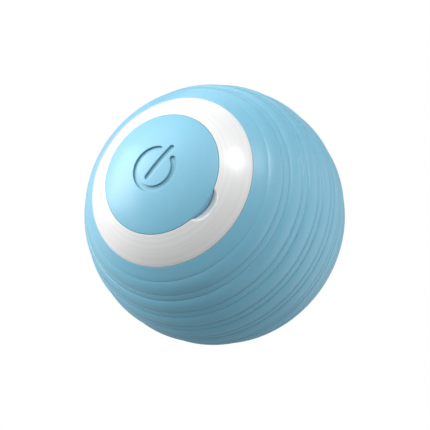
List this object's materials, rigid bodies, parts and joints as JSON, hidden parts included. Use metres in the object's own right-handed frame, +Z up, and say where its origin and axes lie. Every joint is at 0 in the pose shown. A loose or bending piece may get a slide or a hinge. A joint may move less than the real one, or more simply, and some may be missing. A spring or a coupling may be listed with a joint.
{
  "type": "self rolling cat ball",
  "caption": "Small self-rolling ball for cats: ribbed soft blue sleeve over white shells, pry-off power cap, and a geared motor that swings a weight inside.",
  "frame": {"origin": "centre of the ball", "axes": "+Y along the spin axis, from the power cap's pole to the far pole; +Z up, towards the bar of the power symbol; +X towards the finger scoop beside the cap"},
  "size_m": [0.043, 0.0428, 0.043],
  "materials": {
    "soft_blue": "satin soft-touch elastomer",
    "white_shell": "satin white plastic",
    "green_board": "solder mask",
    "steel": "plated",
    "brass": "turned",
    "iron_weight": "cast and plated",
    "black_plastic": "moulded",
    "grey_plastic": "moulded",
    "gear_white": "natural acetal",
    "silver_foil": "laminated pouch",
    "foam": "closed-cell foam",
    "clear_lens": "diffused lens",
    "red_wire": "insulation",
    "black_wire": "insulation"
  },
  "bodies": {
    "ball": {"ridged_sleeve": "soft_blue", "front_shell": "white_shell", "rear_shell": "white_shell", "rear_cap": "soft_blue", "main_board": "green_board", "charging_socket": "steel", "socket_tongue": "black_plastic", "switch_body": "black_plastic", "status_led": "clear_lens", "control_chip": "black_plastic", "charge_chip": "black_plastic", "vibration_sensor": "brass", "battery_cell": "silver_foil", "battery_pad": "foam", "chassis": "grey_plastic", "chassis_screw_1": "steel", "chassis_screw_2": "steel", "chassis_screw_3": "steel", "motor_end_cap": "black_plastic", "motor_can": "steel", "motor_terminal_1": "brass", "motor_terminal_2": "brass", "gearbox_base": "grey_plastic", "gearbox_cover": "grey_plastic", "gear_pin": "steel", "gearbox_screw_1": "steel", "gearbox_screw_2": "steel", "rear_bush": "brass", "motor_lead_red": "red_wire", "motor_lead_black": "black_wire", "battery_lead_red": "red_wire", "battery_lead_black": "black_wire"},
    "cap": {"power_cap": "soft_blue"},
    "switch_plunger": {"switch_stem": "grey_plastic"},
    "motor_rotor": {"motor_shaft": "steel", "motor_pinion": "brass"},
    "first_gear": {"first_gear": "gear_white"},
    "second_gear": {"second_gear": "gear_white"},
    "third_gear": {"third_gear": "gear_white"},
    "weight": {"output_shaft": "steel", "output_gear": "gear_white", "swing_arm": "grey_plastic", "counterweight": "iron_weight"}
  },
  "joints": [
    {"name": "cap_lift", "type": "slide", "parent": "ball", "child": "cap", "axis": [0, -1, 0], "range_m": [-0.00025, 0.008]},
    {"name": "switch_press", "type": "slide", "parent": "ball", "child": "switch_plunger", "axis": [0, 1, 0], "range_m": [0, 0.00025], "stiffness_N_per_m": 3000},
    {"name": "weight_swing", "type": "hinge", "parent": "ball", "child": "weight", "pos_m": [0, 0, 0], "axis": [0, 1, 0], "continuous": true},
    {"name": "third_gear_spin", "type": "hinge", "parent": "ball", "child": "third_gear", "pos_m": [0, 0, 0.0045], "axis": [0, 1, 0], "continuous": true},
    {"name": "second_gear_spin", "type": "hinge", "parent": "ball", "child": "second_gear", "pos_m": [0, 0, 0], "axis": [0, 1, 0], "continuous": true},
    {"name": "first_gear_spin", "type": "hinge", "parent": "ball", "child": "first_gear", "pos_m": [0, 0, 0.0045], "axis": [0, 1, 0], "continuous": true},
    {"name": "motor_spin", "type": "hinge", "parent": "ball", "child": "motor_rotor", "pos_m": [0, 0, 0], "axis": [0, 1, 0], "continuous": true}
  ],
  "couplings": [
    {"joint": "third_gear_spin", "follows": "weight_swing", "ratio": -2.75},
    {"joint": "second_gear_spin", "follows": "weight_swing", "ratio": 7.5625},
    {"joint": "first_gear_spin", "follows": "weight_swing", "ratio": -20.797},
    {"joint": "motor_spin", "follows": "weight_swing", "ratio": 57.191}
  ]
}
